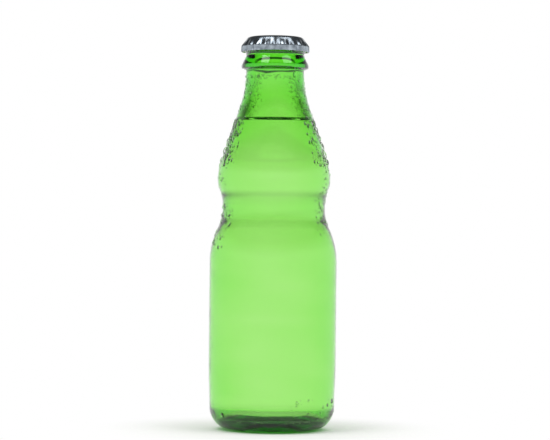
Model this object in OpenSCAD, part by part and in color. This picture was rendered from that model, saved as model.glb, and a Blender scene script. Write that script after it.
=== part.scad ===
// Small returnable glass bottle with a waisted body, filled with a clear drink and closed by a
// pry-off crown. It stands on z = 0 with its axis on the Z axis.
//
// The wall is a chain of stations, where it runs upright, and of blends between them. The stations
// are stacked from the base up, so a longer stretch lifts all that lies above it.

/* [Body] */
// Outside diameter of the body between its foot and its shoulder
body_d = 53.2; // [48:0.1:60]
// Outside diameter where the heel begins
heel_d = 52.2; // [44:0.1:53]
// Radius of the heel, from the bearing ring round to the wall
heel_r = 9.3; // [6:0.1:12]
// Rise from the top of the heel to the full body diameter
foot_rise = 18; // [8:0.5:30]
// Length of the straight stretch of the body
barrel_h = 43; // [20:0.5:90]

/* [Waist and bulge] */
// Rise from the straight body to the waist
shoulder_rise = 23.2; // [16:0.1:40]
// Outside diameter of the waist
waist_d = 42.7; // [38:0.1:46]
// Rise from the waist to the bulge
bulge_rise = 11.5; // [9:0.1:20]
// Outside diameter of the bulge
bulge_d = 47.1; // [46.5:0.1:52]
// Share of the shoulder blend's radii that lies on its rounded side
shoulder_round = 0.6; // [0.3:0.05:0.7]
// Share of the radii between waist and bulge that lies on the hollow side
bulge_hollow = 0.66; // [0.3:0.02:0.7]

/* [Neck] */
// Outside diameter of the straight neck
neck_d = 24.2; // [23.6:0.1:25]
// Rise from the bulge to the straight neck
neck_rise = 44.5; // [30:0.5:70]
// Length of the straight neck below the finish
neck_h = 1.4; // [1:0.1:20]
// Share of the neck blend's radii that lies on its rounded side
neck_round = 0.33; // [0.2:0.01:0.6]
// Share by which the neck blend's radii are cut to leave a straight cone
neck_cone = 0.33; // [0:0.01:0.6]

/* [Crown finish] */
// Height of the finish, from the underside of its collar to the brim
finish_h = 12.9; // [12:0.1:18]
// Diameter of the collar below the crown
collar_d = 28; // [27:0.1:30]
// Height of the collar's edge at its widest
collar_edge_h = 1.4; // [0.8:0.1:2]
// Height over which the collar tapers back to the neck
collar_taper_h = 4; // [3:0.1:4.5]
// Diameter of the locking ring that the crown grips
lock_d = 26.6; // [26.3:0.1:27]
// Depth from the brim to the lower edge of the locking ring
lock_drop = 4.7; // [4.2:0.1:5]
// Height of the locking ring's upright edge
lock_edge_h = 1; // [0.6:0.1:1.4]
// Diameter of the brim's outer edge before it is rounded
brim_d = 23.4; // [22.6:0.1:24]
// Diameter of the bore through the finish
bore_d = 17.5; // [15:0.1:18]
// Radius of the bore's upper edge
bore_edge_r = 1; // [0.4:0.1:1.4]

/* [Glass] */
// Wall of the body
body_wall = 2.1; // [1.8:0.1:3.2]
// Wall of the waist
waist_wall = 2.4; // [1.8:0.1:3.4]
// Wall of the bulge
bulge_wall = 2.1; // [1.8:0.1:3.2]
// Thickness of the base over the bearing ring
base_wall = 4.2; // [3:0.1:7]
// Thickness of the base at its centre
base_centre_wall = 3.4; // [2.5:0.1:6]
// Radius inside the heel
inside_heel_r = 7.5; // [4:0.1:9]
// Height of the hollow under the base
push_up = 3.2; // [2:0.1:5]
// Width of the flat ring that the bottle stands on
bearing_w = 2.2; // [1.2:0.1:4]

/* [Crown] */
// Thickness of the tinplate
tinplate = 0.24; // [0.2:0.01:0.3]
// Height of the flutes' crests over their hollows at the rim
flute_depth = 0.71; // [0.4:0.01:1]
// Height of the crown
crown_h = 6.3; // [5.8:0.1:6.6]
// Inset of the flat top's edge from the brim's outer edge
crown_top_inset = 1.4; // [1.2:0.1:2]
// Radius from the top into the skirt
crown_corner_r = 2.1; // [1.5:0.1:2.4]
// Depth from the top to where the skirt runs upright
crown_flare_drop = 4; // [3.2:0.1:4.4]
// Number of flutes
flute_count = 21; // [18:1:24]
// Clearance between the skirt's hollows and the locking ring
crown_clearance = 0.1; // [0.08:0.01:0.2]

/* [Liner] */
// Thickness of the liner inside its sealing ring
liner_t = 0.35; // [0.25:0.05:0.5]
// Thickness of the sealing ring
seal_t = 0.7; // [0.6:0.05:0.9]
// Width of the sealing ring
seal_w = 2.6; // [1.5:0.1:3]
// Clearance between the liner and the tinplate
liner_clearance = 0.02; // [0.01:0.01:0.05]
// Clearance between the sealing ring and the brim
seal_clearance = 0.05; // [0.02:0.01:0.1]

/* [Drink] */
// Depth from the brim to the surface of the drink
fill_drop = 35; // [20:0.5:60]
// Radius of the curved edge of the drink's surface
meniscus_r = 1.6; // [1:0.1:2.5]
// Clearance between the drink and the glass
drink_clearance = 0.05; // [0.02:0.01:0.1]

/* [Hidden] */

// Smoothness of the round shapes, and the largest turn between two points of an arc
$fn = 96;
arc_step = 4;
// Points round one flute of the crown
flute_steps = 8;
// Radii of the moulded glass: at the collar, the ring, the brim, the bearing ring and the push-up
collar_edge_r = 0.8;
collar_root_r = 0.6;
lock_root_r = 0.5;
lock_edge_r = 0.4;
brim_r = 1.2;
bearing_r = 1;
push_up_r = 16;
// Slope of the collar's underside, and of the locking ring's
collar_slope = 20;
lock_slope = 45;
// Half the height of the slope that rounds the brim's outer edge
brim_chamfer = 0.5;
// Turn of the crown's corner, and how far its crests lean out below the flare
crown_corner_turn = 58;
crown_lean = 0.08;
// Turn of the drink's curved edge
meniscus_turn = 62;

// Heights of the stations
foot_z = heel_r + foot_rise;
shoulder_z = foot_z + barrel_h;
waist_z = shoulder_z + shoulder_rise;
bulge_z = waist_z + bulge_rise;
neck_z = bulge_z + neck_rise;
collar_z = neck_z + neck_h;
brim_z = collar_z + finish_h;
lock_z = brim_z - lock_drop;
fill_z = brim_z - fill_drop;
inside_heel_z = base_wall + inside_heel_r;
floor_z = push_up + base_centre_wall;

// Heights and radii of the crown
crown_inside_z = brim_z + seal_clearance + seal_t + liner_clearance;
crown_top_z = crown_inside_z + tinplate;
crown_rim_z = crown_top_z - crown_h;
flare_z = crown_top_z - crown_flare_drop;
crown_corner_z = crown_top_z - crown_corner_r;
skirt_in_r = lock_d / 2 + crown_clearance;
hollow_r = skirt_in_r + tinplate;
crest_r = hollow_r + flute_depth;
crown_top_r = brim_d / 2 - crown_top_inset;

function unit(v) = v / norm(v);
function turn_between(a, b) = let (t = b - a) t > 180 ? t - 360 : t < -180 ? t + 360 : t;

// An arc round a centre, from one angle through a turn
function arc(centre, radius, from, turn) =
    let (steps = max(1, ceil(abs(turn) / arc_step)))
    [for (i = [0:steps]) centre + radius * [cos(from + turn * i / steps), sin(from + turn * i / steps)]];

// The corner p between a and b, rounded as far as the room along its two edges allows
function rounded(a, p, b, radius, room) =
    let (
        u = unit(a - p),
        v = unit(b - p),
        half = acos(u * v) / 2,
        reach = min(radius / tan(half), room),
        r = reach * tan(half),
        centre = p + unit(u + v) * r / sin(half),
        start = p + u * reach - centre,
        end = p + v * reach - centre,
        from = atan2(start.y, start.x)
    )
    arc(centre, r, from, turn_between(from, atan2(end.y, end.x)));

// What a corner may take of the edge to its neighbour: all of it, or half where both are rounded
function share(corner, neighbour) =
    norm([neighbour.x - corner.x, neighbour.y - corner.y]) / (neighbour.z > 0 ? 2 : 1);

// A path through corners [x, y, radius], where a radius of 0 is a sharp corner
function path(corners) =
    [for (i = [0:len(corners) - 1])
        let (c = corners[i], before = corners[i - 1], after = corners[i + 1])
        each c.z == 0 ? [[c.x, c.y]] :
            rounded([before.x, before.y], [c.x, c.y], [after.x, after.y], c.z,
                    min(share(c, before), share(c, after)))];

// Two arcs, and a straight between them, that join two upright stretches of wall. first_share is
// the first arc's share of the two radii, and straight_share is how much shorter the radii are than
// those of two arcs that meet.
function blend(a, b, first_share, straight_share) =
    let (
        side = sign(b.x - a.x),
        across = abs(b.x - a.x),
        up = b.y - a.y,
        radii = (1 - straight_share) * (across * across + up * up) / (2 * across),
        r1 = first_share * radii,
        r2 = radii - r1,
        turn = atan2(up, radii - across) - acos(radii / norm([radii - across, up])),
        steps = max(2, ceil(turn / arc_step))
    )
    concat(
        [for (i = [0:steps]) let (t = turn * i / steps)
            [a.x + side * r1 * (1 - cos(t)), a.y + r1 * sin(t)]],
        [for (i = [steps:-1:0]) let (t = turn * i / steps)
            if (straight_share > 0 || i < steps)
                [b.x - side * r2 * (1 - cos(t)), b.y - r2 * sin(t)]]);

// The wall from the heel to the neck, as radii at the stations
function wall(heel, foot, body, waist, bulge, neck) = concat(
    blend(heel, [foot, foot_z], 0.5, 0),
    blend([body, shoulder_z], [waist, waist_z], shoulder_round, 0),
    blend([waist, waist_z], [bulge, bulge_z], bulge_hollow, 0),
    blend([bulge, bulge_z], [neck, neck_z], neck_round, neck_cone));

// The underside, from the axis to the start of the heel
function underside() =
    let (bearing_out = heel_d / 2 - heel_r, bearing_in = bearing_out - bearing_w)
    path([[0, push_up, 0], [bearing_in / 2, push_up, push_up_r], [bearing_in, 0, bearing_r],
          [bearing_out, 0, 0]]);

function outside_wall() = concat(
    arc([heel_d / 2 - heel_r, heel_r], heel_r, -90, 90),
    wall([heel_d / 2, heel_r], body_d / 2, body_d / 2, waist_d / 2, bulge_d / 2, neck_d / 2));

// The finish, from the straight neck up over the brim and down to the bore
function finish() =
    let (
        neck_r = neck_d / 2,
        collar_r = collar_d / 2,
        lock_r = lock_d / 2,
        collar_low_z = collar_z + (collar_r - neck_r) * tan(collar_slope),
        collar_top_z = collar_low_z + collar_edge_h,
        lock_low_z = lock_z - (lock_r - neck_r) * tan(lock_slope)
    )
    path([[neck_r, neck_z, 0],
          [neck_r, collar_z, collar_root_r],
          [collar_r, collar_low_z, collar_edge_r],
          [collar_r, collar_top_z, collar_edge_r],
          [neck_r, collar_top_z + collar_taper_h, collar_edge_r],
          [neck_r, lock_low_z, lock_root_r],
          [lock_r, lock_z, lock_edge_r],
          [lock_r, lock_z + lock_edge_h, lock_edge_r],
          [brim_d / 2 + brim_chamfer, brim_z - 2 * brim_chamfer, brim_r],
          [brim_d / 2 - brim_chamfer, brim_z, brim_r],
          [bore_d / 2, brim_z, bore_edge_r],
          [bore_d / 2, neck_z, 0]]);

// The inside, from the centre of the floor to the bore, drawn in by a clearance
function inside_wall(gap) =
    let (
        heel = heel_d / 2 - body_wall - gap,
        body = body_d / 2 - body_wall - gap
    )
    concat(
        path([[0, floor_z + gap, 0],
              [heel / 2, floor_z + gap, inside_heel_r],
              [heel, base_wall + gap, inside_heel_r],
              [heel, inside_heel_z + gap, 0]]),
        wall([heel, inside_heel_z + gap], body, body, waist_d / 2 - waist_wall - gap,
             bulge_d / 2 - bulge_wall - gap, bore_d / 2 - gap));

function reversed(points) = [for (i = [len(points) - 1:-1:0]) points[i]];

// The radius of a rising outline at a height
function radius_at(outline, z) =
    [for (i = [0:len(outline) - 2])
        let (p = outline[i], q = outline[i + 1])
        if (p.y <= z && z < q.y) p.x + (q.x - p.x) * (z - p.y) / (q.y - p.y)][0];

module glass_bottle() {
    color([0.35, 0.78, 0.24, 0.65])
        rotate_extrude()
            polygon(concat(underside(), outside_wall(), finish(), reversed(inside_wall(0))));
}

// The drink up to its surface, which climbs the wall in a curved edge
module drink() {
    outline = inside_wall(drink_clearance);
    edge_z = fill_z + meniscus_r * (1 - cos(meniscus_turn));
    edge_r = radius_at(outline, edge_z);
    color([0.85, 0.95, 0.88, 0.5])
        rotate_extrude()
            polygon(concat(
                [for (p = outline) if (p.y < edge_z) p],
                reversed(arc([edge_r - meniscus_r * sin(meniscus_turn), fill_z + meniscus_r],
                             meniscus_r, -90, meniscus_turn)),
                [[0, fill_z]]));
}

// Rings of the crown's skin as [radius in a hollow, radius on a crest, height]. The inner skin
// is drawn in by the thickness of the tinplate.
function crown_rings(inset) =
    let (
        corner = arc([crown_top_r, crown_corner_z], crown_corner_r - inset, 90, -crown_corner_turn),
        tail = corner[len(corner) - 1],
        middle_z = (tail.y + flare_z) / 2,
        hollow = hollow_r - inset,
        crest = crest_r - crown_lean - inset,
        middle = [for (edge = [hollow, crest]) (tail.x + edge) / 2 + inset * 0.1]
    )
    concat(
        [for (i = [0:3:len(corner) - 1]) [corner[i].x, corner[i].x, corner[i].y]],
        [[tail.x, tail.x, tail.y],
         [middle[0], middle[1], middle_z],
         [hollow, crest, flare_z],
         [hollow, crest + crown_lean, crown_rim_z]]);

// One ring of points, waved between the hollows and the crests
function waved(ring) =
    let (count = flute_count * flute_steps)
    [for (i = [0:count - 1])
        let (angle = 360 * i / count, crest = (1 + cos(flute_count * angle)) / 2,
             r = ring[0] + (ring[1] - ring[0]) * crest)
        [r * cos(angle), r * sin(angle), ring[2]]];

module crown_shell() {
    rings = concat(crown_rings(0), reversed(crown_rings(tinplate)));
    count = flute_count * flute_steps;
    rows = len(rings);
    points = concat([for (ring = rings) each waved(ring)],
                    [[0, 0, crown_top_z], [0, 0, crown_inside_z]]);
    top = count * rows;
    color([0.68, 0.70, 0.72])
        polyhedron(points, concat(
            [for (i = [0:count - 1]) [top, (i + 1) % count, i]],
            [for (row = [0:rows - 2], i = [0:count - 1])
                let (a = row * count + i, b = row * count + (i + 1) % count)
                each [[a, b, b + count], [a, b + count, a + count]]],
            [for (i = [0:count - 1])
                let (a = (rows - 1) * count + i, b = (rows - 1) * count + (i + 1) % count)
                [top + 1, a, b]]));
}

// The liner follows the inside of the tinplate and has a thicker ring that seals on the brim
module crown_liner() {
    corner_r = crown_corner_r - tinplate - liner_clearance;
    liner_z = crown_inside_z - liner_clearance;
    seal_z = liner_z - seal_t;
    corner_turn = acos(max(0, 1 - seal_t / corner_r));
    seal_out = crown_top_r + corner_r * sin(corner_turn);
    seal_in = seal_out - seal_w;
    color([0.86, 0.88, 0.84])
        rotate_extrude()
            polygon(concat(
                [[0, liner_z]],
                arc([crown_top_r, crown_corner_z], corner_r, 90, -corner_turn),
                [[seal_in, seal_z], [seal_in - (seal_t - liner_t), liner_z - liner_t],
                 [0, liner_z - liner_t]]));
}

glass_bottle();
crown_shell();
crown_liner();
drink();
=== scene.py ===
"""Looks of a small waisted bottle: wet green glass, a clear drink and a fluted tinplate crown.

Every size in the classes is in millimetres, and MM turns it into Blender's metres. The bottle stands
on the floor at z = 0 with its axis on the Z axis. A bearing is the angle round that axis in degrees,
counted from the side that faces the camera (-Y) towards the camera's right (+X).
"""

import logging
import math
import random
from dataclasses import dataclass
from enum import Enum

import bmesh
import bpy
from mathutils import Matrix, Vector, noise

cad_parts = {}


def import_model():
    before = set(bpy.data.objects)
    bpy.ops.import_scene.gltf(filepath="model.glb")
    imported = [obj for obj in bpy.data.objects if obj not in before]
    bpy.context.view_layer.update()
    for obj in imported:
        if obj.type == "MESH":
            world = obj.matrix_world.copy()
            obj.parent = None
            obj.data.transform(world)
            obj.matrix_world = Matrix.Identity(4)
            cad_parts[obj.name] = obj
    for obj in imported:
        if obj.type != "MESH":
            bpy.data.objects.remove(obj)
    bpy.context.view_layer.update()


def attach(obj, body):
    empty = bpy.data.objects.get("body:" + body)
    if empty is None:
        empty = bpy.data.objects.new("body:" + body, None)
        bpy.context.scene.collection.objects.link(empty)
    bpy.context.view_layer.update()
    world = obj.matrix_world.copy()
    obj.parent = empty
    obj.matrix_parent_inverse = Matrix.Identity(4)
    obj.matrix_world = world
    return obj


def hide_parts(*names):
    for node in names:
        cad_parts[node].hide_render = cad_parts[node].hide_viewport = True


LOG = logging.getLogger("bottle")
MM = 0.001
Point = tuple[float, float]
Corner = tuple[float, float, float]


class Body(Enum):
    """The moving bodies that pieces ride on."""

    BOTTLE = "bottle"
    CROWN = "crown"


class Skin(Enum):
    """The side of the wall that a drop hangs on."""

    OUTSIDE = 1
    INSIDE = -1


def arc(centre: Point, radius: float, start: float, turn: float, step: float = 3.0) -> list[Point]:
    """Points along an arc.

    Args:
        centre: Centre of the arc.
        radius: Its radius.
        start: Angle of the first point, in degrees.
        turn: Angle from the first point to the last, in degrees.
        step: Largest angle between two points.

    Returns:
        The points, both ends included.
    """
    steps = max(1, math.ceil(abs(turn) / step))
    angles = [math.radians(start + turn * i / steps) for i in range(steps + 1)]
    return [(centre[0] + radius * math.cos(a), centre[1] + radius * math.sin(a)) for a in angles]


def rounded(before: Point, corner: Point, after: Point, radius: float, room: float) -> list[Point]:
    """An arc in place of a corner.

    Args:
        before: The point before the corner.
        corner: The corner.
        after: The point after it.
        radius: Radius wanted.
        room: How much of each edge the arc may take.

    Returns:
        The arc's points.
    """
    p = Vector(corner)
    u = (Vector(before) - p).normalized()
    v = (Vector(after) - p).normalized()
    half = math.acos(max(-1.0, min(1.0, u.dot(v)))) / 2
    reach = min(radius / math.tan(half), room)
    r = reach * math.tan(half)
    centre = p + (u + v).normalized() * (r / math.sin(half))
    start = p + u * reach - centre
    end = p + v * reach - centre
    first = math.degrees(math.atan2(start.y, start.x))
    turn = (math.degrees(math.atan2(end.y, end.x)) - first + 180) % 360 - 180
    return arc((centre.x, centre.y), r, first, turn, step=9.0)


def path(corners: list[Corner]) -> list[Point]:
    """A path through rounded corners.

    Args:
        corners: Radius, height and rounding of each corner, where a rounding of 0 is sharp.

    Returns:
        The path's points.
    """
    points: list[Point] = []
    for i, (r, z, rounding) in enumerate(corners):
        if rounding == 0:
            points.append((r, z))
            continue
        before, after = corners[i - 1], corners[i + 1]
        room = min(math.dist((r, z), n[:2]) / (2 if n[2] > 0 else 1) for n in (before, after))
        points += rounded(before[:2], (r, z), after[:2], rounding, room)
    return points


def blend(a: Point, b: Point, first_share: float, straight_share: float) -> list[Point]:
    """Two arcs, with a straight between them, that join two upright stretches of wall.

    Args:
        a: Lower end, where the wall is upright.
        b: Upper end, where the wall is upright.
        first_share: The lower arc's share of the two radii.
        straight_share: How much shorter the radii are than those of two arcs that meet.

    Returns:
        The points from a to b.
    """
    side = math.copysign(1, b[0] - a[0])
    across, up = abs(b[0] - a[0]), b[1] - a[1]
    radii = (1 - straight_share) * (across**2 + up**2) / (2 * across)
    r1, r2 = first_share * radii, (1 - first_share) * radii
    turn = math.atan2(up, radii - across) - math.acos(min(1.0, radii / math.hypot(radii - across, up)))
    steps = max(2, math.ceil(math.degrees(turn) / 2.5))
    low = [(a[0] + side * r1 * (1 - math.cos(turn * i / steps)), a[1] + r1 * math.sin(turn * i / steps))
           for i in range(steps + 1)]
    high = [(b[0] - side * r2 * (1 - math.cos(turn * i / steps)), b[1] - r2 * math.sin(turn * i / steps))
            for i in range(steps, -1, -1)]
    return low + (high if straight_share > 0 else high[1:])


def resampled(points: list[Point], longest: float) -> list[Point]:
    """The same path with its long edges cut up.

    Args:
        points: The path.
        longest: Longest edge allowed.

    Returns:
        The path with points added, and with repeated points dropped.
    """
    out = [points[0]]
    for p, q in zip(points[:-1], points[1:]):
        length = math.dist(p, q)
        if length < 1e-6:
            continue
        cuts = max(1, math.ceil(length / longest))
        out += [(p[0] + (q[0] - p[0]) * i / cuts, p[1] + (q[1] - p[1]) * i / cuts)
                for i in range(1, cuts + 1)]
    return out


def radius_at(outline: list[Point], z: float) -> float:
    """Radius of a rising outline at a height.

    Args:
        outline: Radius and height of its points, from the lowest up.
        z: The height.

    Returns:
        The radius, or that of the top where the height is past it.
    """
    for (r0, z0), (r1, z1) in zip(outline[:-1], outline[1:]):
        if z0 <= z < z1:
            return r0 + (r1 - r0) * (z - z0) / (z1 - z0)
    return outline[-1][0]


def spun(outline: list[Point], steps: int) -> bmesh.types.BMesh:
    """Spins an outline about the Z axis into a closed mesh.

    Args:
        outline: Radius and height of each point, in order. Its ends lie on the axis.
        steps: Number of faces round the axis.

    Returns:
        The mesh, in metres, with its normals outwards.
    """
    bm = bmesh.new()
    verts = [bm.verts.new((r * MM, 0, z * MM)) for r, z in outline]
    edges = [bm.edges.new(pair) for pair in zip(verts[:-1], verts[1:])]
    bmesh.ops.spin(bm, geom=verts + edges, axis=(0, 0, 1), cent=(0, 0, 0), angle=math.tau,
                   steps=steps, use_merge=True)
    bmesh.ops.remove_doubles(bm, verts=bm.verts, dist=1e-7)
    bmesh.ops.recalc_face_normals(bm, faces=bm.faces)
    bm.normal_update()
    return bm


def bearing_of(co: Vector) -> float:
    """Bearing of a point, in degrees from -180 to 180."""
    return math.degrees(math.atan2(co.x, -co.y))


def smoothstep(low: float, high: float, value: float) -> float:
    """A smooth ramp.

    Args:
        low: Where it leaves 0.
        high: Where it reaches 1.
        value: The value looked up.

    Returns:
        The ramp's height there, from 0 to 1.
    """
    t = max(0.0, min(1.0, (value - low) / (high - low)))
    return t * t * (3 - 2 * t)


def finished(bm: bmesh.types.BMesh, name: str, materials: list[bpy.types.Material], body: Body,
             replaced: str | None = None) -> bpy.types.Object:
    """Turns a mesh into a piece of the scene.

    Args:
        bm: The mesh, which is freed.
        name: The piece's name.
        materials: Its materials, in the order of its faces' indices.
        body: The body that it rides on.
        replaced: The CAD node that it stands for.

    Returns:
        The piece.
    """
    mesh = bpy.data.meshes.new(name)
    for face in bm.faces:
        face.smooth = True
    bm.to_mesh(mesh)
    bm.free()
    piece = bpy.data.objects.new(name, mesh)
    bpy.context.scene.collection.objects.link(piece)
    for material in materials:
        mesh.materials.append(material)
    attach(piece, body.value)
    if replaced:
        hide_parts(replaced)
    LOG.info("%s: %d faces on %s", name, len(mesh.polygons), body.value)
    return piece


def linear(hex_colour: str) -> tuple[float, float, float, float]:
    """Turns an sRGB colour to linear.

    Args:
        hex_colour: The colour, such as #A4EB80.

    Returns:
        Its linear red, green and blue, and an alpha of 1.
    """
    parts = [int(hex_colour[i:i + 2], 16) / 255 for i in (1, 3, 5)]
    r, g, b = (c / 12.92 if c <= 0.04045 else ((c + 0.055) / 1.055) ** 2.4 for c in parts)
    return r, g, b, 1.0


def add_node(tree: bpy.types.NodeTree, kind: str, values: dict | None = None,
             links: dict | None = None, **settings: object) -> bpy.types.Node:
    """Adds a node.

    Args:
        tree: The tree that it goes into.
        kind: Its Blender type.
        values: Values of its input sockets, by name or number.
        links: Output sockets that feed its input sockets, by name or number.
        **settings: Its own properties.

    Returns:
        The node.
    """
    node = tree.nodes.new(kind)
    for name, value in settings.items():
        setattr(node, name, value)
    for socket, value in (values or {}).items():
        node.inputs[socket].default_value = value
    for socket, source in (links or {}).items():
        tree.links.new(source, node.inputs[socket])
    return node


def empty_material(name: str) -> tuple[bpy.types.Material, bpy.types.NodeTree]:
    """Starts a material.

    Args:
        name: Its name.

    Returns:
        The material and its empty node tree.
    """
    material = bpy.data.materials.new(name)
    material.use_nodes = True
    material.node_tree.nodes.clear()
    return material, material.node_tree


def grain(tree: bpy.types.NodeTree, size_mm: float, detail: float = 2.0,
          stretch: tuple[float, float, float] = (1, 1, 1)) -> bpy.types.NodeSocket:
    """Noise with features of a real size, on Object coordinates.

    Args:
        tree: The tree that it goes into.
        size_mm: Size of a feature.
        detail: Octaves of finer noise.
        stretch: How much longer a feature is along each axis.

    Returns:
        The noise's factor, from 0 to 1.
    """
    place = add_node(tree, "ShaderNodeTexCoord").outputs["Object"]
    turned = add_node(tree, "ShaderNodeMapping", {"Scale": [1 / s for s in stretch]}, {"Vector": place})
    return add_node(tree, "ShaderNodeTexNoise", {"Scale": 1 / (size_mm * MM), "Detail": detail},
                    {"Vector": turned.outputs["Vector"]}).outputs["Fac"]


def mapped(tree: bpy.types.NodeTree, factor: bpy.types.NodeSocket, low: float,
           high: float) -> bpy.types.NodeSocket:
    """A noise factor spread from low to high."""
    return add_node(tree, "ShaderNodeMapRange",
                    {"From Min": 0.3, "From Max": 0.7, "To Min": low, "To Max": high},
                    {"Value": factor}).outputs["Result"]


def let_lamps_through(tree: bpy.types.NodeTree, shader: bpy.types.NodeSocket,
                      share: float) -> bpy.types.NodeSocket:
    """Lets shadow rays pass a clear material, so that the floor beside it isn't black.

    Args:
        tree: The material's tree.
        shader: The clear shader.
        share: How much light passes.

    Returns:
        The mixed shader.
    """
    shadow = add_node(tree, "ShaderNodeLightPath").outputs["Is Shadow Ray"]
    clear = add_node(tree, "ShaderNodeBsdfTransparent", {"Color": (share, share, share, 1)})
    return add_node(tree, "ShaderNodeMixShader",
                    links={0: shadow, 1: shader, 2: clear.outputs[0]}).outputs[0]


@dataclass(frozen=True)
class MouldedGreenGlass:
    """Soda-lime container glass, blown in a polished iron mould: clear, glossy and green in depth."""

    ior: float = 1.52
    absorbed_per_mm: tuple[float, float, float] = (0.25, 0.042, 0.43)
    skin_mm: float = 5.0
    skin_depth_mm: float = 0.05

    def material(self) -> bpy.types.Material:
        """A refracting surface over a volume that takes out red and blue."""
        material, tree = empty_material("moulded_green_glass")
        # The mould's skin leaves a faint unevenness, a few millimetres across.
        bump = add_node(tree, "ShaderNodeBump", {"Strength": 1.0, "Distance": self.skin_depth_mm * MM},
                        {"Height": grain(tree, self.skin_mm, 1.0)})
        glass = add_node(tree, "ShaderNodeBsdfPrincipled",
                         {"Base Color": (1, 1, 1, 1), "Roughness": 0.0, "IOR": self.ior,
                          "Transmission Weight": 1.0}, {"Normal": bump.outputs[0]})
        density = 1.02 * max(self.absorbed_per_mm) / MM
        tint = [1 - a / MM / density for a in self.absorbed_per_mm]
        depth = add_node(tree, "ShaderNodeVolumeAbsorption", {"Color": (*tint, 1), "Density": density})
        add_node(tree, "ShaderNodeOutputMaterial",
                 links={"Surface": let_lamps_through(tree, glass.outputs[0], 0.6),
                        "Volume": depth.outputs[0]})
        return material


@dataclass(frozen=True)
class ClearWater:
    """Clear carbonated water, and the drops of it on the glass: colourless, with a mirror skin."""

    ior: float = 1.333

    def material(self) -> bpy.types.Material:
        """A smooth colourless refracting surface."""
        material, tree = empty_material("clear_water")
        water = add_node(tree, "ShaderNodeBsdfPrincipled",
                         {"Base Color": (1, 1, 1, 1), "Roughness": 0.0, "IOR": self.ior,
                          "Transmission Weight": 1.0})
        add_node(tree, "ShaderNodeOutputMaterial",
                 links={"Surface": let_lamps_through(tree, water.outputs[0], 0.97)})
        return material


@dataclass(frozen=True)
class LacqueredTinplate:
    """Deep-drawn tinplate under clear lacquer: a blue-grey satin metal with a glossy coat."""

    bright: str = "#B2BDC6"
    dull: str = "#6E7983"
    roughness: tuple[float, float] = (0.2, 0.34)

    def material(self) -> bpy.types.Material:
        """Satin metal, dulled in patches."""
        material, tree = empty_material("lacquered_tinplate")
        patches = grain(tree, 2.5, 3.0)
        colour = add_node(tree, "ShaderNodeMix", {"A": linear(self.bright), "B": linear(self.dull)},
                          {"Factor": mapped(tree, patches, 0.0, 1.0)}, data_type="RGBA")
        # Orange peel of the lacquer, under a millimetre across.
        bump = add_node(tree, "ShaderNodeBump", {"Strength": 0.6, "Distance": 0.01 * MM},
                        {"Height": grain(tree, 0.6, 2.0)})
        metal = add_node(tree, "ShaderNodeBsdfPrincipled",
                         {"Metallic": 1.0, "Coat Weight": 0.4, "Coat Roughness": 0.08},
                         {"Base Color": colour.outputs["Result"],
                          "Roughness": mapped(tree, patches, *self.roughness),
                          "Normal": bump.outputs[0]})
        add_node(tree, "ShaderNodeOutputMaterial", links={"Surface": metal.outputs[0]})
        return material


@dataclass(frozen=True)
class GoldLacquer:
    """Baked epoxy lacquer inside the crown: a thin golden varnish over the tin."""

    colour: str = "#C9B27A"

    def material(self) -> bpy.types.Material:
        """Golden satin metal."""
        material, tree = empty_material("gold_lacquer")
        metal = add_node(tree, "ShaderNodeBsdfPrincipled",
                         {"Base Color": linear(self.colour), "Metallic": 1.0},
                         {"Roughness": mapped(tree, grain(tree, 1.5), 0.28, 0.4)})
        add_node(tree, "ShaderNodeOutputMaterial", links={"Surface": metal.outputs[0]})
        return material


@dataclass(frozen=True)
class MouldedPolyethylene:
    """Polyethylene, moulded into the crown while soft: milky white, waxy and slightly clouded."""

    pale: str = "#ECEEE8"
    cloudy: str = "#DCE0D8"

    def material(self) -> bpy.types.Material:
        """A waxy white plastic."""
        material, tree = empty_material("moulded_polyethylene")
        clouds = grain(tree, 3.0, 3.0)
        colour = add_node(tree, "ShaderNodeMix", {"A": linear(self.pale), "B": linear(self.cloudy)},
                          {"Factor": mapped(tree, clouds, 0.0, 1.0)}, data_type="RGBA")
        plastic = add_node(tree, "ShaderNodeBsdfPrincipled",
                           {"Subsurface Weight": 0.15, "Subsurface Scale": 0.4 * MM},
                           {"Base Color": colour.outputs["Result"],
                            "Roughness": mapped(tree, clouds, 0.38, 0.5)})
        add_node(tree, "ShaderNodeOutputMaterial", links={"Surface": plastic.outputs[0]})
        return material


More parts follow.
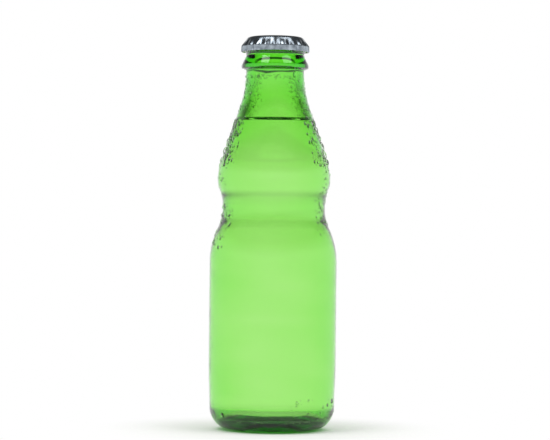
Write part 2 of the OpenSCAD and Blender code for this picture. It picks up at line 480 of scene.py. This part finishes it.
@dataclass
class GlassBottle:
    """The glass: its sizes, the run of its walls, and the marks that its mould leaves."""

    body_d: float = 53.2
    heel_d: float = 52.2
    heel_r: float = 9.3
    foot_rise: float = 18
    barrel_h: float = 43
    shoulder_rise: float = 23.2
    waist_d: float = 42.7
    bulge_rise: float = 11.5
    bulge_d: float = 47.1
    shoulder_round: float = 0.6
    bulge_hollow: float = 0.66
    neck_d: float = 24.2
    neck_rise: float = 44.5
    neck_h: float = 1.4
    neck_round: float = 0.33
    neck_cone: float = 0.33
    finish_h: float = 12.9
    collar_d: float = 28
    collar_slope: float = 20
    collar_edge_h: float = 1.4
    collar_taper_h: float = 4
    lock_d: float = 26.6
    lock_drop: float = 4.7
    lock_edge_h: float = 1
    brim_d: float = 23.4
    brim_chamfer: float = 0.5
    bore_d: float = 17.5
    bore_edge_r: float = 1
    body_wall: float = 2.1
    waist_wall: float = 2.4
    bulge_wall: float = 2.1
    base_wall: float = 4.2
    base_centre_wall: float = 3.4
    inside_heel_r: float = 7.5
    push_up: float = 3.2
    bearing_w: float = 2.2
    longest_edge: float = 1.2
    steps_round: int = 192
    ripple: float = 0.2
    ripple_size: float = 5.5
    swell: float = 0.24
    swell_size: float = 19
    seam_w: float = 0.5
    seam_h: float = 0.07
    seam_fade: tuple[float, float] = (5, 9)
    knurls: int = 48
    knurl_depth: float = 0.18

    def __post_init__(self) -> None:
        """Stacks the heights of the stations."""
        self.foot_z = self.heel_r + self.foot_rise
        self.shoulder_z = self.foot_z + self.barrel_h
        self.waist_z = self.shoulder_z + self.shoulder_rise
        self.bulge_z = self.waist_z + self.bulge_rise
        self.neck_z = self.bulge_z + self.neck_rise
        self.collar_z = self.neck_z + self.neck_h
        self.brim_z = self.collar_z + self.finish_h
        self.outer = self.outside()

    def wall(self, heel: Point, foot: float, waist: float, bulge: float, neck: float) -> list[Point]:
        """The wall from the heel to the neck.

        Args:
            heel: Radius and height where it starts.
            foot: Radius of the body.
            waist: Radius of the waist.
            bulge: Radius of the bulge.
            neck: Radius of the neck.

        Returns:
            The wall's points, from the heel up.
        """
        return (blend(heel, (foot, self.foot_z), 0.5, 0)
                + blend((foot, self.shoulder_z), (waist, self.waist_z), self.shoulder_round, 0)
                + blend((waist, self.waist_z), (bulge, self.bulge_z), self.bulge_hollow, 0)
                + blend((bulge, self.bulge_z), (neck, self.neck_z), self.neck_round, self.neck_cone))

    def outside(self) -> list[Point]:
        """The outside from the heel to the straight neck."""
        heel = arc((self.heel_d / 2 - self.heel_r, self.heel_r), self.heel_r, -90, 90)
        return heel + self.wall((self.heel_d / 2, self.heel_r), self.body_d / 2, self.waist_d / 2,
                                self.bulge_d / 2, self.neck_d / 2)

    def inside(self, grow: float) -> list[Point]:
        """The inside from the centre of the floor to the bore.

        Args:
            grow: How far the outline is pushed into the glass.

        Returns:
            The outline's points.
        """
        heel = self.heel_d / 2 - self.body_wall + grow
        floor_z = self.push_up + self.base_centre_wall - grow
        low = self.base_wall - grow
        start = low + self.inside_heel_r
        floor = path([(0, floor_z, 0), (heel / 2, floor_z, self.inside_heel_r),
                      (heel, low, self.inside_heel_r), (heel, start, 0)])
        return floor + self.wall((heel, start), self.body_d / 2 - self.body_wall + grow,
                                 self.waist_d / 2 - self.waist_wall + grow,
                                 self.bulge_d / 2 - self.bulge_wall + grow, self.bore_d / 2 + grow)

    def underside(self) -> list[Point]:
        """The underside from the axis to the start of the heel."""
        out = self.heel_d / 2 - self.heel_r
        into = out - self.bearing_w
        return path([(0, self.push_up, 0), (into / 2, self.push_up, 16), (into, 0, 1), (out, 0, 0)])

    def finish(self) -> list[Point]:
        """The finish from the straight neck over the brim and down the bore."""
        neck, collar, lock, brim = (d / 2 for d in (self.neck_d, self.collar_d, self.lock_d, self.brim_d))
        low = self.collar_z + (collar - neck) * math.tan(math.radians(self.collar_slope))
        top = low + self.collar_edge_h
        lock_z = self.brim_z - self.lock_drop
        return path([(neck, self.neck_z, 0), (neck, self.collar_z, 0.6), (collar, low, 0.8),
                     (collar, top, 0.8), (neck, top + self.collar_taper_h, 0.8),
                     (neck, lock_z - (lock - neck), 0.5), (lock, lock_z, 0.4),
                     (lock, lock_z + self.lock_edge_h, 0.4),
                     (brim + self.brim_chamfer, self.brim_z - 2 * self.brim_chamfer, 1.2),
                     (brim - self.brim_chamfer, self.brim_z, 1.2),
                     (self.bore_d / 2, self.brim_z, self.bore_edge_r), (self.bore_d / 2, self.neck_z, 0)])

    def wave(self, co: Vector) -> float:
        """How far the inner skin strays from round at a point, which is where blown glass is uneven.

        Args:
            co: The point, in metres.

        Returns:
            The change of the inner radius, in millimetres.
        """
        round_about = Vector((co.x, co.y, 0)).normalized()
        z = co.z / MM
        fine = noise.noise(Vector((round_about.x * 0.9, round_about.y * 0.9, z / self.ripple_size)))
        broad = noise.noise(Vector((round_about.x * 1.6 + 7, round_about.y * 1.6, z / self.swell_size)))
        fade = smoothstep(8, 16, z) * (1 - smoothstep(146, 150, z))
        return fade * (self.ripple * fine + self.swell * broad)

    def ripple_inside(self, bm: bmesh.types.BMesh) -> None:
        """Moves the inner skin by the wave.

        Args:
            bm: The glass.
        """
        for v in bm.verts:
            out = Vector((v.co.x, v.co.y, 0))
            if out.length > 1e-6 and v.normal.dot(out.normalized()) < -0.2:
                v.co += out.normalized() * self.wave(v.co) * MM

    def raise_seams(self, bm: bmesh.types.BMesh) -> None:
        """Raises the two upright lines where the halves of the mould meet, at the bottle's sides.

        Args:
            bm: The glass.
        """
        for offset in (-self.seam_w / 2, 0.0, self.seam_w / 2):
            bmesh.ops.bisect_plane(bm, geom=bm.verts[:] + bm.edges[:] + bm.faces[:],
                                   plane_co=(0, offset * MM, 0), plane_no=(0, 1, 0), dist=1e-8)
        bm.normal_update()
        for v in bm.verts:
            out = Vector((v.co.x, v.co.y, 0))
            on_line = abs(v.co.y) < self.seam_w / 4 * MM and out.length > 10 * MM
            if on_line and v.normal.dot(out.normalized()) > 0.5 and v.co.z < self.brim_z * MM:
                v.co += out.normalized() * self.seam_h * MM * smoothstep(*self.seam_fade, v.co.z / MM)

    def knurl_bearing(self, bm: bmesh.types.BMesh) -> None:
        """Cuts the bearing ring into short bars, as the mould's knurling does.

        Args:
            bm: The glass.
        """
        out = self.heel_d / 2 - self.heel_r
        middle = out - self.bearing_w / 2
        for v in bm.verts:
            r = math.hypot(v.co.x, v.co.y) / MM
            if v.co.z / MM < 0.6 and abs(r - middle) < self.bearing_w:
                wave = 0.5 - 0.5 * math.cos(math.radians(bearing_of(v.co)) * self.knurls)
                fade = 1 - smoothstep(0.3, 1, abs(r - middle) / self.bearing_w)
                v.co.z += self.knurl_depth * MM * wave * fade

    def build(self, glass: bpy.types.Material) -> bpy.types.Object:
        """Spins the glass and works its skins.

        Args:
            glass: The bottle's material.

        Returns:
            The piece.
        """
        upper = self.finish()
        inner = self.inside(0)[::-1]
        outline = resampled(self.underside() + self.outer + upper + inner, self.longest_edge)
        bm = spun(outline, self.steps_round)
        self.ripple_inside(bm)
        self.knurl_bearing(bm)
        self.raise_seams(bm)
        return finished(bm, "bottle_glass", [glass], Body.BOTTLE, "glass_bottle")


@dataclass
class Drink:
    """The drink, which wets the glass and climbs it at the edge of its surface."""

    bottle: GlassBottle
    fill_drop: float = 35
    meniscus_r: float = 2.2
    meniscus_turn: float = 72
    into_glass: float = 0.12
    steps_round: int = 192

    def build(self, water: bpy.types.Material) -> bpy.types.Object:
        """Spins the drink, a little into the glass, so that light bends as from glass into water.

        Args:
            water: The drink's material.

        Returns:
            The piece.
        """
        fill_z = self.bottle.brim_z - self.fill_drop
        edge_z = fill_z + self.meniscus_r * (1 - math.cos(math.radians(self.meniscus_turn)))
        outline = self.bottle.inside(self.into_glass)
        wall_r = radius_at(self.bottle.inside(0), edge_z)
        foot_r = wall_r - self.meniscus_r * math.sin(math.radians(self.meniscus_turn))
        curve = arc((foot_r, fill_z + self.meniscus_r), self.meniscus_r, -90, self.meniscus_turn, 6)[::-1]
        side = [p for p in outline if p[1] < edge_z] + [(radius_at(outline, edge_z), edge_z)]
        bm = spun(resampled(side + curve + [(0, fill_z)], self.bottle.longest_edge), self.steps_round)
        for v in bm.verts:
            out = Vector((v.co.x, v.co.y, 0))
            if out.length > 1e-6 and v.normal.dot(out.normalized()) > 0.2:
                v.co += out.normalized() * self.bottle.wave(v.co) * MM
        return finished(bm, "drink_body", [water], Body.BOTTLE, "drink")


@dataclass
class CrownCap:
    """The crown: a drawn tinplate shell with a fluted skirt, and the liner inside it."""

    bottle: GlassBottle
    tinplate: float = 0.24
    crown_h: float = 6.3
    corner_r: float = 2.1
    corner_turn: float = 58
    top_inset: float = 1.4
    flare_drop: float = 4
    flutes: int = 21
    flute_depth: float = 0.71
    clearance: float = 0.1
    lean: float = 0.08
    liner_t: float = 0.35
    seal_t: float = 0.7
    seal_w: float = 2.6
    seal_gap: float = 0.05
    liner_gap: float = 0.02
    steps_per_flute: int = 16
    ring_r: tuple[float, float] = (4.45, 5)
    ring_slope: float = 0.15
    ring_h: float = 0.08

    def __post_init__(self) -> None:
        """Works out the crown's heights from the brim."""
        self.inside_z = self.bottle.brim_z + self.seal_gap + self.seal_t + self.liner_gap
        self.top_z = self.inside_z + self.tinplate
        self.rim_z = self.top_z - self.crown_h
        self.corner_z = self.top_z - self.corner_r
        self.flare_z = self.top_z - self.flare_drop
        self.top_r = self.bottle.brim_d / 2 - self.top_inset
        self.hollow_r = self.bottle.lock_d / 2 + self.clearance + self.tinplate

    def shell_outline(self) -> list[Point]:
        """The shell's outer skin along a hollow, from the axis to the rim."""
        corner = arc((self.top_r, self.corner_z), self.corner_r, 90, -self.corner_turn, 4)
        return resampled([(0, self.top_z), *corner, (self.hollow_r, self.flare_z),
                          (self.hollow_r, self.rim_z)], 0.3)

    def flute(self, co: Vector) -> float:
        """How far the skirt stands out from its hollows.

        Args:
            co: A point of the skirt, in metres.

        Returns:
            The distance, in millimetres.
        """
        z = co.z / MM
        tail_z = self.corner_z + self.corner_r * math.cos(math.radians(self.corner_turn))
        depth = self.flute_depth * smoothstep(tail_z + 0.5, self.flare_z - 0.2, z)
        lean = self.lean * smoothstep(self.flare_z, self.rim_z, z)
        crest = 0.5 + 0.5 * math.cos(math.radians(bearing_of(co)) * self.flutes)
        return (depth + lean) * crest**0.85

    def build_shell(self, outside: bpy.types.Material, inside: bpy.types.Material) -> bpy.types.Object:
        """Spins the skin, presses the flutes and gives it the tinplate's thickness.

        Args:
            outside: Material of the outer face and the rim.
            inside: Material of the inner face.

        Returns:
            The piece.
        """
        bm = bmesh.new()
        outline = self.shell_outline()
        verts = [bm.verts.new((r * MM, 0, z * MM)) for r, z in outline]
        edges = [bm.edges.new(pair) for pair in zip(verts[:-1], verts[1:])]
        bmesh.ops.spin(bm, geom=verts + edges, axis=(0, 0, 1), cent=(0, 0, 0), angle=math.tau,
                       steps=self.flutes * self.steps_per_flute, use_merge=True)
        bmesh.ops.remove_doubles(bm, verts=bm.verts, dist=1e-7)
        bmesh.ops.recalc_face_normals(bm, faces=bm.faces)
        if sum(f.normal.z for f in bm.faces if f.calc_center_median().z > (self.top_z - 0.1) * MM) < 0:
            bmesh.ops.reverse_faces(bm, faces=bm.faces)
        for v in bm.verts:
            out = Vector((v.co.x, v.co.y, 0))
            if out.length > 1e-6:
                v.co += out.normalized() * self.flute(v.co) * MM
        bm.normal_update()
        outer = set(bm.faces)
        bmesh.ops.solidify(bm, geom=bm.faces[:], thickness=self.tinplate * MM)
        for face in bm.faces:
            centre = face.calc_center_median()
            face.material_index = 0 if face in outer or centre.z < (self.rim_z + 0.02) * MM else 1
        bmesh.ops.recalc_face_normals(bm, faces=bm.faces)
        return finished(bm, "crown_tinplate", [outside, inside], Body.CROWN, "crown_shell")

    def build_liner(self, plastic: bpy.types.Material) -> bpy.types.Object:
        """Spins the liner with its sealing ring and the shallow ring of its mould.

        Args:
            plastic: The liner's material.

        Returns:
            The piece.
        """
        r = self.corner_r - self.tinplate - self.liner_gap
        top = self.inside_z - self.liner_gap
        low = top - self.seal_t
        turn = math.degrees(math.acos(max(0.0, 1 - self.seal_t / r)))
        out = self.top_r + r * math.sin(math.radians(turn))
        seal_in = out - self.seal_w
        thin = top - self.liner_t
        foot = seal_in - (self.seal_t - self.liner_t)
        ring_in, ring_out = self.ring_r
        raised = thin + self.ring_h
        outline = [(0, top), *arc((self.top_r, self.corner_z), r, 90, -turn, 5),
                   *path([(out, low, 0), (seal_in, low, 0.3), (foot, thin, 0.3), (ring_out, thin, 0.15),
                          (ring_out - self.ring_slope, raised, 0.05),
                          (ring_in + self.ring_slope, raised, 0.05), (ring_in, thin, 0.15),
                          (0, thin, 0)])]
        bm = spun(resampled(outline, 0.4), self.steps_per_flute * 8)
        return finished(bm, "crown_liner_disc", [plastic], Body.CROWN, "crown_liner")


@dataclass(frozen=True)
class DropZone:
    """A patch of wall with drops on it."""

    low_z: float
    high_z: float
    low_bearing: float
    high_bearing: float
    count: int
    small: float
    large: float
    skin: Skin = Skin.OUTSIDE
    long: float = 1.25


@dataclass
class WallRelief:
    """Small domes that stand on a skin of the wall."""

    bottle: GlassBottle
    height: float = 0.42
    tallest: float = 2.0
    into_glass: float = 0.05

    def __post_init__(self) -> None:
        """Takes the run of the inner skin, from above the floor to the brim."""
        self.inner = [p for p in self.bottle.inside(0) if p[1] > 12]
        self.inner.append((self.bottle.bore_d / 2, self.bottle.brim_z))

    def on_wall(self, bearing: float, z: float, lift: float, skin: Skin) -> Vector:
        """A place on the wall.

        Args:
            bearing: Its bearing.
            z: Its height.
            lift: How far it stands off the skin.
            skin: The skin that it is on.

        Returns:
            The place, in metres.
        """
        outline = self.bottle.outer if skin is Skin.OUTSIDE else self.inner
        r = radius_at(outline, z)
        slope = (radius_at(outline, z + 0.2) - radius_at(outline, z - 0.2)) / 0.4
        tilt = math.atan(slope)
        a = math.radians(bearing)
        way = Vector((math.sin(a), -math.cos(a), 0))
        base = way * r + Vector((0, 0, z))
        normal = way * math.cos(tilt) - Vector((0, 0, 1)) * math.sin(tilt)
        if skin is Skin.INSIDE:
            base += way * self.bottle.wave(base * MM)
        return (base + normal * lift * skin.value) * MM

    def add_drop(self, bm: bmesh.types.BMesh, bearing: float, z: float, radius: float, long: float,
                 skin: Skin) -> None:
        """Lays a drop on the wall: a dome outside the skin, closed by a flat foot just under it.

        Args:
            bm: The mesh that it is added to.
            bearing: Its bearing.
            z: Its height.
            radius: Half its width.
            long: Its length over its width.
            skin: The skin that it is on.
        """
        # Each drop is shaped in a mesh of its own, because an operator walks the whole of its mesh.
        drop = bmesh.new()
        verts = bmesh.ops.create_icosphere(drop, subdivisions=2, radius=1.0)["verts"]
        r = radius_at(self.bottle.outer if skin is Skin.OUTSIDE else self.inner, z)
        for v in verts:
            u, w, up = v.co.x, v.co.y, v.co.z
            tall = min(radius * self.height * 2, self.tallest)
            lift = up * (tall if up > 0 else self.into_glass)
            sag = 1 + 0.25 * (-w) if long > 1.4 else 1.0
            turned = bearing + math.degrees(u * radius * sag / r)
            v.co = self.on_wall(turned, z + w * radius * long, lift, skin)
        if skin is Skin.INSIDE:
            bmesh.ops.reverse_faces(drop, faces=drop.faces)
        shaped = bpy.data.meshes.new("shaped")
        drop.to_mesh(shaped)
        drop.free()
        bm.from_mesh(shaped)
        bpy.data.meshes.remove(shaped)


@dataclass
class HeelMarks(WallRelief):
    """A plain row of raised bars and dots at the heel, as a mould's counting marks are."""

    height: float = 0.8
    tallest: float = 0.45
    row_z: float = 5.2
    bar: tuple[float, float] = (0.3, 3.6)
    dot: tuple[float, float] = (0.42, 1.0)
    bars: tuple[float, ...] = (-34, -31, -16, -9, 14, 21, 28, 39)
    dots: tuple[float, ...] = (-12.5, -4, 17.5, 24.5, 33, 35.5)
    button: tuple[float, float, float] = (7.0, -52, 1.1)

    def build(self, glass: bpy.types.Material) -> bpy.types.Object:
        """Raises the row and the button beside it.

        Args:
            glass: The bottle's own glass.

        Returns:
            The piece.
        """
        bm = bmesh.new()
        for row, (radius, long) in ((self.bars, self.bar), (self.dots, self.dot)):
            for bearing in row:
                self.add_drop(bm, bearing, self.row_z, radius, long, Skin.OUTSIDE)
        z, bearing, radius = self.button
        self.add_drop(bm, bearing, z, radius, 1.0, Skin.OUTSIDE)
        return finished(bm, "heel_marks", [glass], Body.BOTTLE)


@dataclass
class Dew(WallRelief):
    """Drops of water on the glass, most of them where the bottle was held wet, at its sides."""

    seed: int = 20
    zones: tuple[DropZone, ...] = (
        DropZone(110, 131, 48, 118, 260, 0.2, 0.75),
        DropZone(110, 131, -118, -48, 240, 0.2, 0.75),
        DropZone(132, 149, 50, 125, 110, 0.15, 0.5),
        DropZone(132, 149, -125, -50, 110, 0.15, 0.5),
        DropZone(76, 94, -122, -50, 170, 0.16, 0.6),
        DropZone(82, 100, 50, 118, 150, 0.14, 0.5),
        DropZone(5, 14, 15, 85, 36, 0.2, 0.6),
        DropZone(98, 112, 58, 114, 60, 0.15, 0.5),
        DropZone(98, 112, -114, -58, 50, 0.15, 0.5),
        DropZone(111, 130, -45, 45, 26, 0.12, 0.25),
        DropZone(146.2, 148.4, -60, 30, 34, 0.3, 0.7, Skin.INSIDE, 0.6),
        DropZone(132.5, 149, 35, 145, 110, 0.2, 0.55, Skin.INSIDE),
        DropZone(132.5, 149, -145, -35, 110, 0.2, 0.55, Skin.INSIDE),
    )
    drips: tuple[tuple[float, float, float, float], ...] = (
        (119, 93, 1.1, 2.0), (115.6, 90, 1.0, 1.8), (122.5, 88, 0.9, 1.6), (148.6, 42, 0.9, 1.5),
        (117, -86, 0.9, 1.7), (121, -90, 0.9, 1.4), (12.8, 72, 0.8, 1.3), (126, 84, 0.8, 1.5),
        (112.5, 86, 1.0, 1.4), (113, -90, 0.9, 1.4), (128, -78, 0.9, 1.4), (128.5, 70, 0.9, 1.3),
    )

    def build(self, water: bpy.types.Material) -> bpy.types.Object:
        """Scatters the drops, the same way each time.

        Args:
            water: The drops' material.

        Returns:
            The piece.
        """
        chance = random.Random(self.seed)
        bm = bmesh.new()
        for zone in self.zones:
            for _ in range(zone.count):
                size = zone.small + (zone.large - zone.small) * chance.random() ** 2.5
                self.add_drop(bm, chance.uniform(zone.low_bearing, zone.high_bearing),
                              chance.uniform(zone.low_z, zone.high_z), size,
                              zone.long * chance.uniform(0.8, 1.25), zone.skin)
        for z, bearing, size, long in self.drips:
            self.add_drop(bm, bearing, z, size, long, Skin.OUTSIDE)
        return finished(bm, "dew_drops", [water], Body.BOTTLE)


@dataclass
class Studio:
    """A pale floor, a soft white room, and the camera where the photograph was taken from."""

    camera_distance: float = 940
    camera_z: float = 81.7
    aim_x: float = 0.6
    aim_z: float = 88.0
    roll: float = 0.58
    lens: float = 146.4
    floor_r: float = 1400
    floor_colour: str = "#FAFAF8"
    floor_fade: tuple[float, float] = (32, 80)
    steep: tuple[float, float] = (0.12, 0.5)
    steep_strength: float = 0.07
    soft_strength: float = 0.8

    def set_camera(self) -> None:
        """Points the camera at the bottle, tipped by the lean that the photograph shows."""
        data = bpy.data.cameras.new("camera")
        data.lens = self.lens
        data.clip_start = 0.01
        camera = bpy.data.objects.new("camera", data)
        bpy.context.scene.collection.objects.link(camera)
        place = Vector((self.aim_x, -self.camera_distance, self.camera_z)) * MM
        aim = Vector((self.aim_x, 0, self.aim_z)) * MM
        turned = (aim - place).to_track_quat("-Z", "Y").to_matrix().to_4x4()
        camera.matrix_world = Matrix.Translation(place) @ turned @ Matrix.Rotation(
            math.radians(self.roll), 4, "Z")
        bpy.context.scene.camera = camera

    def lay_floor(self) -> None:
        """Lays a round floor that fades into the white of the room."""
        bm = bmesh.new()
        bmesh.ops.create_circle(bm, cap_ends=True, radius=self.floor_r * MM, segments=96)
        mesh = bpy.data.meshes.new("studio_floor")
        bm.to_mesh(mesh)
        bm.free()
        floor = bpy.data.objects.new("studio_floor", mesh)
        bpy.context.scene.collection.objects.link(floor)
        material, tree = empty_material("pale_floor")
        place = add_node(tree, "ShaderNodeTexCoord").outputs["Object"]
        reach = add_node(tree, "ShaderNodeVectorMath", links={0: place}, operation="LENGTH")
        fade = add_node(tree, "ShaderNodeMapRange",
                        {"From Min": self.floor_fade[0] * MM, "From Max": self.floor_fade[1] * MM},
                        {"Value": reach.outputs["Value"]},
                        interpolation_type="SMOOTHSTEP")
        paint = add_node(tree, "ShaderNodeBsdfDiffuse", {"Color": linear(self.floor_colour)})
        light = add_node(tree, "ShaderNodeEmission", {"Color": (1, 1, 1, 1), "Strength": 1.0})
        seen = add_node(tree, "ShaderNodeLightPath")
        not_diffuse = add_node(tree, "ShaderNodeMath", links={0: seen.outputs["Is Diffuse Ray"]},
                               values={1: 1.0}, operation="LESS_THAN")
        share = add_node(tree, "ShaderNodeMath", operation="MULTIPLY",
                         links={0: fade.outputs["Result"], 1: not_diffuse.outputs[0]})
        mixed = add_node(tree, "ShaderNodeMixShader",
                         links={0: share.outputs[0], 1: paint.outputs[0], 2: light.outputs[0]})
        add_node(tree, "ShaderNodeOutputMaterial", links={"Surface": mixed.outputs[0]})
        mesh.materials.append(material)

    def light_room(self) -> None:
        """A white room that is darker above and below, with a soft lamp on each side."""
        world = bpy.data.worlds.new("white_room")
        bpy.context.scene.world = world
        world.use_nodes = True
        tree = world.node_tree
        tree.nodes.clear()
        way = add_node(tree, "ShaderNodeTexCoord").outputs["Generated"]
        height = add_node(tree, "ShaderNodeSeparateXYZ", links={0: way}).outputs["Z"]
        steepness = add_node(tree, "ShaderNodeMath", links={0: height}, operation="ABSOLUTE")
        shade = add_node(tree, "ShaderNodeMapRange",
                         {"From Min": self.steep[0], "From Max": self.steep[1], "To Min": 1.0,
                          "To Max": self.steep_strength},
                         {"Value": steepness.outputs[0]}, interpolation_type="SMOOTHSTEP")
        room = add_node(tree, "ShaderNodeBackground", {"Color": (1, 1, 1, 1)},
                        {"Strength": shade.outputs["Result"]})
        soft = add_node(tree, "ShaderNodeBackground", {"Color": (1, 1, 1, 1), "Strength": self.soft_strength})
        plain = add_node(tree, "ShaderNodeBackground", {"Color": (1, 1, 1, 1), "Strength": 1.0})
        seen = add_node(tree, "ShaderNodeLightPath")
        lit = add_node(tree, "ShaderNodeMixShader",
                       links={0: seen.outputs["Is Diffuse Ray"], 1: room.outputs[0], 2: soft.outputs[0]})
        whole = add_node(tree, "ShaderNodeMixShader",
                         links={0: seen.outputs["Is Camera Ray"], 1: lit.outputs[0], 2: plain.outputs[0]})
        add_node(tree, "ShaderNodeOutputWorld", links={"Surface": whole.outputs[0]})
        self.hang_lamp("left_lamp", (-420, -380, 1050), 450, 2.8)
        self.hang_lamp("right_lamp", (460, -300, 1000), 450, 1.9)

    def hang_lamp(self, name: str, place: tuple[float, float, float], size: float, watts: float) -> None:
        """Hangs a square soft lamp that faces the bottle.

        Args:
            name: Its name.
            place: Where it hangs.
            size: Length of its side.
            watts: Its power.
        """
        data = bpy.data.lights.new(name, "AREA")
        data.size = size * MM
        data.energy = watts
        lamp = bpy.data.objects.new(name, data)
        bpy.context.scene.collection.objects.link(lamp)
        lamp.location = Vector(place) * MM
        aim = Vector((0, 0, 80)) * MM
        lamp.visible_transmission = False
        lamp.rotation_euler = (aim - lamp.location).to_track_quat("-Z", "Y").to_euler()

    def build(self) -> None:
        """Sets up the camera, the floor and the light."""
        bpy.context.scene.view_settings.view_transform = "Standard"
        self.set_camera()
        self.lay_floor()
        self.light_room()


def main() -> None:
    """Loads the frame and builds the room, then each piece in order."""
    logging.basicConfig(level=logging.INFO, format="%(message)s")
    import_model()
    Studio().build()
    bottle = GlassBottle()
    crown = CrownCap(bottle)
    water = ClearWater().material()
    glass = MouldedGreenGlass().material()
    bottle.build(glass)
    HeelMarks(bottle).build(glass)
    Drink(bottle).build(water)
    Dew(bottle).build(water)
    crown.build_shell(LacqueredTinplate().material(), GoldLacquer().material())
    crown.build_liner(MouldedPolyethylene().material())


if __name__ == "__main__":
    main()
